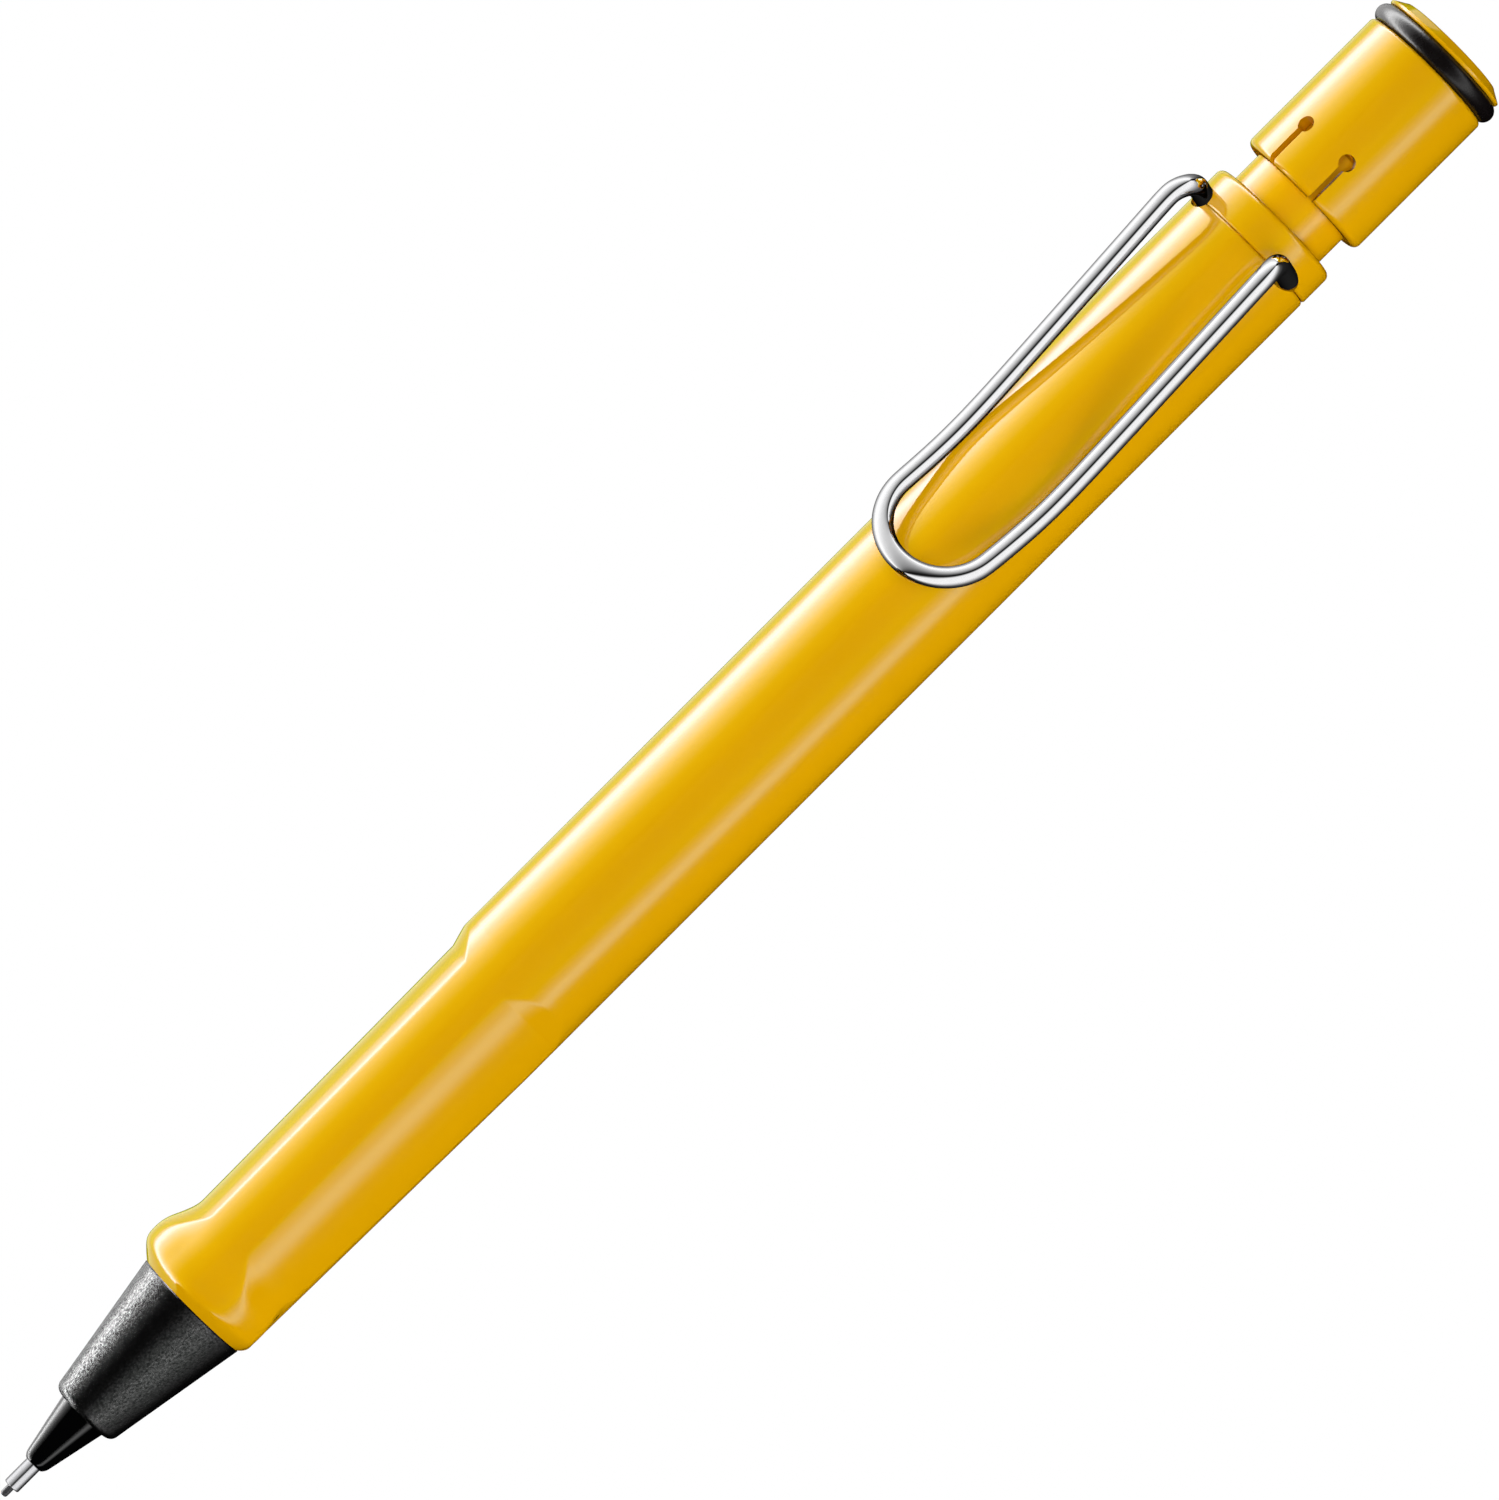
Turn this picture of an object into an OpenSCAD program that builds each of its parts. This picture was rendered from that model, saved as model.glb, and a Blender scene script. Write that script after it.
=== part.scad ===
// Mechanical pencil for 0.5 mm lead, with a bent-wire clip, a push button and an eraser under the button.
// Lies along X with the push button at +X and the clip toward +Y; Z is up.

/* [Barrel] */
// Outside diameter of the barrel
barrel_d = 10.38; // [10.2:0.01:10.6]
// Where the barrel begins, measured from the mouth of the guide sleeve
barrel_front = 17.45; // [17:0.05:17.6]
// Where the barrel ends and the top bush begins
barrel_rear = 118.95; // [117:0.05:120]

/* [Grip] */
// Distance from the pencil axis to the middle of a finger recess at its front
recess_depth_r = 4.49; // [4.39:0.02:4.65]
// Radius of the gentle curve across a finger recess
recess_curve_r = 8.7; // [8:0.1:10]
// Half of the angle between the middles of the two finger recesses
recess_angle = 59.3; // [54:0.1:62]
// Turn of the two recesses together from the clip
grip_turn = 3.3; // [0:0.1:5]
// Height of the flared lip in front of the recesses, from the axis
lip_r = 5.66; // [5.3:0.02:5.8]

/* [Clip] */
// Diameter of the clip wire
wire_d = 1.5; // [1.2:0.02:1.54]
// Gap between the wire and the barrel at the knee, where the clip presses on the barrel
knee_gap = 0.01; // [0.01:0.01:0.3]
// Rise of the clip legs for each millimetre toward the button
leg_rise = 0.192; // [0.16:0.004:0.2]

/* [Button] */
// Outside diameter of the push button
button_d = 10.3; // [10:0.05:10.6]
// Gap between the collar and the button, which is the press travel
button_gap = 2.4; // [1.5:0.1:3]
// Distance from the button's lower edge to the keyhole centres
keyhole_reach = 3.46; // [3:0.02:4]
// Section diameter of the rubber ring
o_ring_section = 1.48; // [1.3:0.02:1.5]

/* [Lead] */
// Diameter of the lead
lead_d = 0.55; // [0.5:0.01:0.56]
// How far the lead stands out of the guide sleeve
lead_out = 0.82; // [0:0.02:2]

/* [Hidden] */
$fn = 96;
eps = 0.01;

barrel_r = barrel_d / 2;
wire_r = wire_d / 2;
button_r = button_d / 2;
lead_r = lead_d / 2;
lead_len = 60;

// Front end
sleeve_r = 0.61;
sleeve_bore_r = 0.3;
sleeve_len = 7;
cone_front = 2.15;
cone_tip_r = 0.99;
cone_rear_r = 1.9;
cone_bevel = 0.45;
cone_bevel_depth = 0.28;
nose_front = 6.9;
nose_front_r = 2.72;
nose_rear_r = 4.38;
nose_round = 0.67;
shank_r = 1.85;
shank_end = 11.2;
retainer_front = 8;
retainer_len = 2.6;
retainer_r = 1.3;
spigot_r = 3.4;
spigot_end = 25.9;
ring_stop = 15.1;
stop_bore_r = 1.98;
front_bore_r = 3.45;

// Lip and front edge of the barrel
front_edge_r = 4.38;
front_rise = 1.3;
front_len = 1.75;
lip_crown = 19.2;
recess_start = 23;
recess_end = 47.2;
recess_ramp = 0.29;
recess_taper = 0.0083;
grip_end = 49.6;
round_start = 49.3;
low_r = 4.8;
low_taper = 0.0155;
ridge_share = 0.65;
lip_top_r = 5.35;
lip_top_angle = 16;
lip_full_angle = 43;
lip_fade_angle = 73;
lip_end_angle = 98;
// The faceted grip skin ends this far inside the round barrel
skin_step = 0.03;

// Clutch
head_front = 14;
head_r = 1.75;
head_cyl_end = 15.2;
head_slope = 0.2;
head_end = 18.2;
jaw_shank_r = 1.15;
jaw_press_r = 1.19;
jaw_end = 42;
jaw_slot = 0.25;
ring_front = 16;
ring_end = 18.4;
ring_r = 2.3;
ring_play = 0.02;
clutch_front = 18.5;
clutch_tube_r = 2.35;
flange_front = 26;
flange_end = 27.5;
clutch_rear = 40;
clutch_body_r = 2.9;
spring_front = 22;
spring_pocket_r = 2;
spring_mean_r = 1.6;
spring_wire_r = 0.18;
spring_turns = 8;

// Lead tube and rear end
tube_front = 36;
tube_rear = 124.5;
tube_r = 1.75;
tube_bore_r = 1.2;
web_bore_r = 3;
web_end = 41;
main_bore_r = 3.6;
bush_front = 105.5;
bush_spigot_r = 3.98;
bush_bore_r = 3.05;
collar_r = 5.2;
collar_end = 121.6;
neck_r = 4.03;
neck_end = 128;
seat_front = 112;
seat_end = 133.6;
seat_r = 3;
seat_cup_r = 2.35;
button_front = collar_end + button_gap;
button_rear = 136.1;
skirt_bore_r = 4.12;
skirt_end = 130.8;
cap_socket_r = 3.6;
cap_socket_front = 134.3;
disc_front = button_rear + o_ring_section + 0.02;
disc_rear = 138.45;
disc_r = 5.05;
disc_face_r = 3.9;
groove_r = 3.92;
o_ring_r = groove_r + o_ring_section / 2 + eps;
slot_w = 0.49;
slot_hole_r = 0.6;
slot_half_angle = 23;

// Eraser
ferrule_front = 125;
ferrule_end = 131.2;
ferrule_r = 2.33;
eraser_r = 2.1;
eraser_front = 125.6;
eraser_end = 136.4;
needle_tip = 104;
needle_r = 0.2;

// Clip path
clip_z = 119.25;
clip_end_y = 1.8;
clip_hole_r = 0.87;
clip_hole_drop = 0.13;
clip_hole_floor = 1.4;
entry_x = 4;
bend_r = 2;
leg_x = 4.45;
knee_x = 4.262;
knee_height = sqrt(pow(barrel_r + wire_r + knee_gap, 2) - pow(knee_x, 2));
knee_z = 96.8;
loop_x = 4.17;
loop_start = 91.2;
loop_len = 4.1;
loop_lift = 1.35;
loop_curl = 0.3;

// Placing in the row frame
lead_tip = -lead_out;
mid_z = (disc_rear + lead_tip) / 2;
half_w = o_ring_r + o_ring_section / 2;
clip_top_y = 8.37;
mid_y = (clip_top_y - half_w) / 2;

function smooth(t) = t <= 0 ? 0 : t >= 1 ? 1 : t * t * (3 - 2 * t);
function unit(v) = v / norm(v);

module place() {
    translate([-mid_z, -mid_y, half_w])
        rotate([0, 90, 0])
            children();
}

module tube(z0, z1, r_out, r_in) {
    translate([0, 0, z0])
        difference() {
            cylinder(r = r_out, h = z1 - z0);
            translate([0, 0, -1])
                cylinder(r = r_in, h = z1 - z0 + 2);
        }
}

module rod(z0, z1, r) {
    translate([0, 0, z0])
        cylinder(r = r, h = z1 - z0);
}

// A round bar along a list of points, with a normal given for each point
module bar_along(pts, normals, r, sides) {
    last = len(pts) - 1;
    tangents = [for (i = [0:last]) unit(pts[min(i + 1, last)] - pts[max(i - 1, 0)])];
    n1 = [for (i = [0:last]) unit(normals[i] - (normals[i] * tangents[i]) * tangents[i])];
    n2 = [for (i = [0:last]) cross(tangents[i], n1[i])];
    verts = [for (i = [0:last]) for (k = [0:sides - 1])
        pts[i] + r * (cos(360 * k / sides) * n1[i] + sin(360 * k / sides) * n2[i])];
    walls = [for (i = [0:last - 1]) for (k = [0:sides - 1]) for (h = [0, 1])
        h == 0
            ? [i * sides + k, (i + 1) * sides + k, i * sides + (k + 1) % sides]
            : [(i + 1) * sides + k, (i + 1) * sides + (k + 1) % sides, i * sides + (k + 1) % sides]];
    caps = [[for (k = [0:sides - 1]) k], [for (k = [sides - 1:-1:0]) last * sides + k]];
    polyhedron(points = verts, faces = concat(walls, caps));
}

// Grip surface: radius at a height z and an angle a from the plane midway between the recesses
function low_side_r(z) = min(barrel_r - skin_step, low_r + low_taper * (z - lip_crown));
function body_r(z, a) = let (share = ridge_share + (1 - ridge_share) * smooth((abs(a) - 40) / 60))
    barrel_r - skin_step - (barrel_r - skin_step - low_side_r(z)) * share;
function recess_floor_r(z) = recess_depth_r + recess_taper * (min(recess_end, max(recess_start, z)) - recess_start);
function recess_r(z, a) = let (f = abs(a) - recess_angle, c = recess_curve_r - recess_floor_r(z))
    sqrt(pow(recess_curve_r, 2) - pow(c * sin(f), 2)) - c * cos(f);
function lip_crown_r(a) = lip_top_r
    + (lip_r + 0.02 - lip_top_r) * smooth((abs(a) - lip_top_angle) / (lip_full_angle - lip_top_angle));
function lip_edge_r(a) = low_r
    + (lip_crown_r(a) - low_r) * smooth((lip_end_angle - abs(a)) / (lip_end_angle - lip_fade_angle));
function outer_r(z, a) = let (b = body_r(z, a))
    b + (max(lip_edge_r(a), b) - b) * smooth((22.5 - z) / 3);
function recess_rise(z) = z > recess_end
    ? (z - recess_end) * recess_ramp
    : (lip_r - recess_depth_r + 0.03) * smooth((recess_start - z) / (recess_start - lip_crown));
function front_cap_r(z) = front_edge_r + front_rise * sin(90 * min(1, (z - barrel_front) / front_len));
function grip_r(z, a) = min(outer_r(z, a), recess_r(z, a) + recess_rise(z), front_cap_r(z));

module grip_skin() {
    n = 72;
    lip_rows = [for (i = [0:19]) barrel_front + i * (recess_start - barrel_front) / 19];
    recess_rows = [for (i = [1:6]) recess_start + i * (recess_end - recess_start) / 6];
    ramp_rows = [for (i = [1:4]) recess_end + i * (grip_end - recess_end) / 4];
    rows = concat(lip_rows, recess_rows, ramp_rows);
    m = len(rows);
    verts = [for (z = rows) for (k = [0:n - 1]) let (a = 360 * k / n - 180, r = grip_r(z, a - grip_turn))
        [r * sin(a), r * cos(a), z]];
    walls = [for (i = [0:m - 2]) for (k = [0:n - 1]) for (h = [0, 1])
        h == 0
            ? [i * n + k, i * n + (k + 1) % n, (i + 1) * n + k]
            : [(i + 1) * n + k, i * n + (k + 1) % n, (i + 1) * n + (k + 1) % n]];
    caps = [[for (k = [n - 1:-1:0]) k], [for (k = [0:n - 1]) (m - 1) * n + k]];
    polyhedron(points = verts, faces = concat(walls, caps));
}

module clip_holes() {
    for (side = [-1, 1])
        translate([side * entry_x, clip_hole_floor, clip_z - clip_hole_drop])
            rotate([-90, 0, 0])
                cylinder(r = clip_hole_r, h = barrel_r);
}

module barrel() {
    chamfer = 0.25;
    color([0.9, 0.66, 0.02])
        place()
            difference() {
                union() {
                    grip_skin();
                    rotate_extrude()
                        polygon([[0, round_start], [barrel_r, round_start],
                            [barrel_r, barrel_rear - chamfer], [barrel_r - chamfer, barrel_rear],
                            [0, barrel_rear]]);
                }
                rod(barrel_front - 1, flange_end, front_bore_r);
                rod(flange_end - 1, barrel_rear + 1, web_bore_r);
                rod(web_end, barrel_rear + 1, main_bore_r);
                rod(bush_front, barrel_rear + 1, bush_spigot_r + 0.02);
                clip_holes();
            }
}

module top_bush() {
    round_r = 0.5;
    chamfer = 0.2;
    color([0.9, 0.66, 0.02])
        place()
            difference() {
                union() {
                    rod(bush_front, neck_end, bush_spigot_r);
                    rod(barrel_rear, neck_end, neck_r);
                    rotate_extrude() {
                        polygon([[0, barrel_rear], [collar_r - chamfer, barrel_rear],
                            [collar_r, barrel_rear + chamfer], [collar_r, collar_end - round_r],
                            [collar_r - round_r, collar_end - round_r], [collar_r - round_r, collar_end],
                            [0, collar_end]]);
                        translate([collar_r - round_r, collar_end - round_r])
                            circle(r = round_r);
                    }
                }
                rod(bush_front - 1, neck_end + 1, bush_bore_r);
                clip_holes();
            }
}

module nose_cone() {
    color([0.06, 0.06, 0.06])
        place()
            difference() {
                union() {
                    rotate_extrude()
                        polygon([[0, nose_front], [nose_front_r - nose_round, nose_front],
                            for (i = [0:5]) let (t = 90 * i / 5)
                                [nose_front_r - nose_round * (1 - sin(t)),
                                 nose_front + nose_round * (1 - cos(t))],
                            [nose_rear_r, barrel_front - 0.1], [nose_rear_r - 0.1, barrel_front],
                            [0, barrel_front]]);
                    rod(barrel_front - 1, spigot_end - 0.3, spigot_r);
                    translate([0, 0, spigot_end - 0.3])
                        cylinder(r1 = spigot_r, r2 = spigot_r - 0.3, h = 0.3);
                }
                rod(nose_front - 1, ring_stop, shank_r + eps);
                rod(shank_end, ring_stop + eps, stop_bore_r);
                rod(ring_stop, spigot_end + 1, clutch_tube_r + 0.05);
                for (i = [0:8])
                    thread_groove(barrel_front + 1.2 + 0.75 * i);
            }
}

module thread_groove(z) {
    depth = 0.25;
    rotate_extrude()
        polygon([[spigot_r - depth, z], [spigot_r + 0.1, z - 0.28], [spigot_r + 0.1, z + 0.28]]);
}

module tip_cone() {
    color([0.03, 0.03, 0.03])
        place()
            difference() {
                union() {
                    translate([0, 0, cone_front + cone_bevel])
                        cylinder(r1 = cone_tip_r, r2 = cone_rear_r, h = nose_front - cone_front - cone_bevel);
                    translate([0, 0, cone_front])
                        cylinder(r1 = cone_tip_r - cone_bevel_depth, r2 = cone_tip_r, h = cone_bevel);
                    rod(nose_front, shank_end, shank_r);
                }
                rod(cone_front - 1, sleeve_len, sleeve_r + eps);
                rod(sleeve_len - eps, retainer_front, lead_r + 0.1);
                rod(retainer_front - eps, shank_end + 1, retainer_r + eps);
            }
}

module guide_sleeve() {
    lead_in = 0.12;
    color([0.75, 0.75, 0.77])
        place()
            rotate_extrude()
                polygon([[sleeve_bore_r, 0], [sleeve_r - lead_in, 0], [sleeve_r, lead_in],
                    [sleeve_r, sleeve_len], [sleeve_bore_r, sleeve_len]]);
}

module lead_retainer() {
    color([0.1, 0.1, 0.1])
        place()
            tube(retainer_front, retainer_front + retainer_len, retainer_r, lead_r + 0.02);
}

module clutch_jaws() {
    grip_end_z = 19;
    slit_end = 28;
    color([0.78, 0.6, 0.25])
        place()
            difference() {
                union() {
                    translate([0, 0, head_front])
                        cylinder(r1 = head_r - 0.35, r2 = head_r, h = 0.5);
                    rod(head_front + 0.5, head_cyl_end, head_r);
                    translate([0, 0, head_cyl_end])
                        cylinder(r1 = head_r, r2 = jaw_shank_r, h = head_end - head_cyl_end);
                    rod(head_end, tube_front, jaw_shank_r);
                    rod(tube_front - eps, jaw_end, jaw_press_r);
                }
                rod(head_front - 1, jaw_end + 1, lead_r + 0.005);
                rod(grip_end_z, jaw_end + 1, 0.7);
                for (k = [0:2])
                    rotate([0, 0, 120 * k])
                        translate([0, -jaw_slot / 2, head_front - 1])
                            cube([head_r + 1, jaw_slot, slit_end - head_front + 1]);
            }
}

module clutch_ring() {
    bore_front = head_r - head_slope * (ring_front - head_cyl_end) + ring_play;
    color([0.78, 0.6, 0.25])
        place()
            rotate_extrude()
                polygon([[bore_front, ring_front], [ring_r - 0.2, ring_front], [ring_r, ring_front + 0.2],
                    [ring_r, ring_end], [jaw_shank_r + ring_play, ring_end],
                    [jaw_shank_r + ring_play, head_end]]);
}

module clutch_sleeve() {
    color([0.25, 0.25, 0.27])
        place()
            difference() {
                union() {
                    rod(clutch_front, flange_end, clutch_tube_r);
                    rod(flange_front, flange_end, spigot_r);
                    rod(flange_end - eps, clutch_rear, clutch_body_r);
                }
                rod(clutch_front - 1, clutch_rear + 1, jaw_shank_r + 0.1);
                rod(spring_front, clutch_rear + 1, spring_pocket_r);
            }
}

module return_spring() {
    steps = 20;
    n = spring_turns * steps;
    z0 = spring_front + spring_wire_r + eps;
    z1 = tube_front - spring_wire_r - eps;
    pts = [for (i = [0:n]) [spring_mean_r * cos(360 * i / steps), spring_mean_r * sin(360 * i / steps),
        z0 + (z1 - z0) * smooth_ends(i / n)]];
    outs = [for (i = [0:n]) [cos(360 * i / steps), sin(360 * i / steps), 0]];
    color([0.7, 0.7, 0.72])
        place()
            bar_along(pts, outs, spring_wire_r, 8);
}

// Closes the first and last turn of the spring
function smooth_ends(t) = let (e = 1 / spring_turns, c = 2.05 * spring_wire_r / (tube_front - spring_front))
    t < e ? c * t / e : t > 1 - e ? 1 - c * (1 - t) / e : c + (1 - 2 * c) * (t - e) / (1 - 2 * e);

module lead_tube() {
    color([0.85, 0.85, 0.83])
        place()
            difference() {
                rod(tube_front, tube_rear, tube_r);
                rod(tube_front - 1, tube_rear + 1, tube_bore_r);
            }
}

module button_seat() {
    color([0.9, 0.66, 0.02])
        place()
            difference() {
                union() {
                    rod(seat_front, seat_end - 0.4, seat_r);
                    translate([0, 0, seat_end - 0.4])
                        cylinder(r1 = seat_r, r2 = seat_r - 0.3, h = 0.4);
                }
                rod(seat_front - 1, tube_rear, tube_r + eps);
                rod(tube_rear - eps, seat_end + 1, seat_cup_r);
            }
}

module push_button() {
    round_r = 0.5;
    top_round = 0.3;
    color([0.9, 0.66, 0.02])
        place()
            difference() {
                rotate_extrude()
                    polygon([[0, button_front], [button_r - round_r, button_front],
                        for (i = [1:6]) let (t = 90 * i / 6)
                            [button_r - round_r * (1 - sin(t)), button_front + round_r * (1 - cos(t))],
                        for (i = [0:4]) let (t = 90 * i / 4)
                            [button_r - top_round * (1 - cos(t)), button_rear - top_round * (1 - sin(t))],
                        [0, button_rear]]);
                rod(button_front - 1, skirt_end, skirt_bore_r);
                rod(skirt_end - 1, button_rear + 1, seat_r + 0.02);
                rod(cap_socket_front, button_rear + 1, cap_socket_r);
                for (turn = [0, 180])
                    for (side = [-1, 1])
                        rotate([0, 0, turn + side * slot_half_angle])
                            keyhole();
            }
}

// Slot and round hole cut through the skirt wall on the clip side
module keyhole() {
    translate([-slot_w / 2, 0, button_front - 1])
        cube([slot_w, button_r + 1, keyhole_reach + 1]);
    translate([0, 0, button_front + keyhole_reach])
        rotate([-90, 0, 0])
            cylinder(r = slot_hole_r, h = button_r + 1);
}

module button_o_ring() {
    color([0.03, 0.03, 0.03])
        place()
            translate([0, 0, button_rear + o_ring_section / 2 + eps])
                rotate_extrude()
                    translate([o_ring_r, 0])
                        circle(r = o_ring_section / 2);
}

module button_end_cap() {
    edge = 0.25;
    color([0.9, 0.66, 0.02])
        place()
            difference() {
                union() {
                    rod(cap_socket_front + 0.05, button_rear, cap_socket_r - 0.02);
                    rod(button_rear, disc_front, groove_r);
                    rotate_extrude()
                        polygon([[0, disc_front], [disc_r - edge, disc_front], [disc_r, disc_front + edge],
                            [disc_face_r + 0.35, disc_rear - 0.12], [disc_face_r, disc_rear],
                            [0, disc_rear]]);
                }
                rod(cap_socket_front - 1, disc_front - 0.1, 2.5);
            }
}

module eraser() {
    round_r = 0.4;
    color([0.93, 0.93, 0.9])
        place() {
            rod(eraser_front, eraser_end - round_r, eraser_r);
            translate([0, 0, eraser_end - round_r])
                cylinder(r1 = eraser_r, r2 = eraser_r - round_r, h = round_r);
        }
}

module eraser_ferrule() {
    color([0.8, 0.8, 0.82])
        place()
            difference() {
                rod(ferrule_front, ferrule_end, ferrule_r);
                rod(eraser_front, ferrule_end + 1, eraser_r + eps);
                rod(ferrule_front - 1, eraser_front + eps, needle_r + eps);
            }
}

module cleaning_needle() {
    color([0.7, 0.7, 0.72])
        place()
            rod(needle_tip, eraser_front - eps, needle_r);
}

module writing_lead() {
    point = 0.1;
    color([0.12, 0.12, 0.13])
        place() {
            translate([0, 0, lead_tip])
                cylinder(r1 = lead_r - point, r2 = lead_r, h = point);
            rod(lead_tip + point, lead_tip + lead_len, lead_r);
        }
}

module spare_leads() {
    ring_place_r = 0.62;
    spare_start = 61;
    color([0.12, 0.12, 0.13])
        place()
            for (k = [0:2])
                rotate([0, 0, 120 * k])
                    translate([ring_place_r, 0, 0])
                        rod(spare_start, spare_start + lead_len, lead_r);
}

// Half of the clip's centre line, from the buried end to the front of the loop
function leg_height(z) = knee_height + leg_rise * (norm([z - knee_z, 2.5]) - 2.5);
function toe_height(s) = knee_height + 0.0445 * s * s - 0.0018 * pow(s, 3);
function bend_z() = clip_z - bend_r;
function bend_base() = leg_height(bend_z()) - bend_r;
function half_clip() = concat(
    [for (i = [0:2]) [entry_x, clip_end_y + i * (bend_base() - clip_end_y) / 3, clip_z]],
    [for (i = [0:8]) let (t = 90 * i / 8)
        [entry_x + (leg_x - entry_x) * smooth(t / 90), bend_base() + bend_r * sin(t),
         clip_z - bend_r * (1 - cos(t))]],
    [for (i = [1:12]) let (z = bend_z() + i * (knee_z - bend_z()) / 12)
        [leg_x + (knee_x - leg_x) * i / 12, leg_height(z), z]],
    [for (i = [1:5]) let (s = i * (knee_z - loop_start) / 5)
        [knee_x + (loop_x - knee_x) * i / 5, toe_height(s), knee_z - s]],
    [for (i = [1:12]) let (t = 90 * i / 12, y0 = toe_height(knee_z - loop_start))
        [loop_x * cos(t), y0 + loop_lift * sin(t) + loop_curl * pow(sin(t), 2),
         loop_start - loop_len * sin(t)]]);

module clip() {
    half = half_clip();
    n = len(half);
    path = concat(half, [for (i = [n - 2:-1:0]) [-half[i][0], half[i][1], half[i][2]]]);
    last = len(path) - 1;
    // The normal points back into the bend at the ends and toward the barrel along the legs
    normals = [for (i = [0:last]) let (j = min(i, last - i), p = path[i])
        j < 12 ? unit([0, p[1] > bend_base() ? bend_base() - p[1] : 0,
            min(bend_z() - p[2], -eps)]) : [0, -1, 0]];
    color([0.85, 0.85, 0.87])
        place()
            bar_along(path, normals, wire_r, 16);
}

writing_lead();
guide_sleeve();
tip_cone();
nose_cone();
barrel();
clip();
top_bush();
push_button();
button_o_ring();
button_end_cap();
lead_retainer();
clutch_jaws();
clutch_ring();
clutch_sleeve();
return_spring();
lead_tube();
button_seat();
spare_leads();
eraser();
eraser_ferrule();
cleaning_needle();
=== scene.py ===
"""Mechanical pencil with a bent-wire clip: visual pieces, materials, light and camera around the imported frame."""
import math

import bmesh
import bpy
from mathutils import Matrix, Vector


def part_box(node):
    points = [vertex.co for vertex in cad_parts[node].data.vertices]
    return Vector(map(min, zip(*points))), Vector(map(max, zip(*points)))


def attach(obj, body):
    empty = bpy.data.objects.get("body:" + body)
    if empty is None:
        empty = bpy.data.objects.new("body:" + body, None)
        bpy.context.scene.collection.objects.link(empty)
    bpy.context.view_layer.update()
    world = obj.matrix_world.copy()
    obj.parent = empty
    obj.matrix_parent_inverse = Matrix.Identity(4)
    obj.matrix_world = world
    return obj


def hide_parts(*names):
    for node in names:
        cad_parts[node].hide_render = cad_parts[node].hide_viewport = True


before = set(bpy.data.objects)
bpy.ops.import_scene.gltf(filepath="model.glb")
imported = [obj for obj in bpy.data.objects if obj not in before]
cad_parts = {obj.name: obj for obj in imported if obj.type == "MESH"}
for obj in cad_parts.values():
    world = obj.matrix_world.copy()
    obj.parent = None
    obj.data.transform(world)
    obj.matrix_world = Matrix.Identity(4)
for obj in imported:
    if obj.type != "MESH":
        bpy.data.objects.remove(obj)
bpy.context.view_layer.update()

MM = 0.001

# The pencil's axis and the mouth of its guide sleeve, from the CAD nodes
BUTTON_LO, BUTTON_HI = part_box("push_button")
AXIS_Y = (BUTTON_LO[1] + BUTTON_HI[1]) / 2
AXIS_Z = (BUTTON_LO[2] + BUTTON_HI[2]) / 2
MOUTH_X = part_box("guide_sleeve")[0][0]

# Sizes in mm, as in the CAD: s runs along the pencil from the mouth of the guide sleeve
BARREL_R = 5.19
BARREL_FRONT, BARREL_REAR = 17.45, 118.95
LEAD_OUT = 0.82
WIRE_R = 0.75
BUTTON_FRONT, BUTTON_REAR = 124.0, 136.1
DISC_REAR = 138.45


def at(side, up, s):
    """A point in the row frame: side is across the clip, up is toward the clip, s is along the pencil, all in mm."""
    return Vector((MOUTH_X + s * MM, AXIS_Y + up * MM, AXIS_Z - side * MM))


def smooth(t):
    t = min(1.0, max(0.0, t))
    return t * t * (3 - 2 * t)


# ---------------------------------------------------------------- mesh tools

def new_object(name, verts, faces, sharp_deg=32):
    mesh = bpy.data.meshes.new(name)
    mesh.from_pydata(verts, [], faces)
    mesh.validate()
    bm = bmesh.new()
    bm.from_mesh(mesh)
    bmesh.ops.recalc_face_normals(bm, faces=bm.faces)
    bm.to_mesh(mesh)
    bm.free()
    mesh.shade_smooth()
    mesh.set_sharp_from_angle(angle=math.radians(sharp_deg))
    obj = bpy.data.objects.new(name, mesh)
    bpy.context.scene.collection.objects.link(obj)
    return obj


def rings_to_object(name, rings, closed_loop=True, capped=False, sharp_deg=32):
    """Joins rings of points; with closed_loop the last ring joins the first."""
    n = len(rings[0])
    verts = [p for ring in rings for p in ring]
    faces = []
    count = len(rings)
    for i in range(count if closed_loop else count - 1):
        a, b = i * n, ((i + 1) % count) * n
        for k in range(n):
            k2 = (k + 1) % n
            faces.append((a + k, a + k2, b + k2, b + k))
    if capped:
        faces.append(tuple(reversed(range(n))))
        faces.append(tuple((count - 1) * n + k for k in range(n)))
    return new_object(name, verts, faces, sharp_deg)


def arc(cx, cz, r, start, end, steps):
    """Points on an arc in the (radius, s) plane, angles in degrees."""
    return [(cx + r * math.cos(math.radians(start + (end - start) * i / steps)),
             cz + r * math.sin(math.radians(start + (end - start) * i / steps))) for i in range(steps + 1)]


def lathe(name, profile, segments=192, sharp_deg=32):
    """A solid turned about the pencil's axis from a closed outline of (radius, s) points; none may lie on the axis."""
    rings = []
    for r, s in profile:
        rings.append([at(r * math.sin(2 * math.pi * k / segments), r * math.cos(2 * math.pi * k / segments), s)
                      for k in range(segments)])
    return rings_to_object(name, rings, True, False, sharp_deg)


def turned(name, profile, segments=192, sharp_deg=32):
    """As lathe, for a solid piece: an open outline whose first and last points are closed with discs."""
    rings = []
    for r, s in profile:
        rings.append([at(r * math.sin(2 * math.pi * k / segments), r * math.cos(2 * math.pi * k / segments), s)
                      for k in range(segments)])
    return rings_to_object(name, rings, False, True, sharp_deg)


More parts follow.
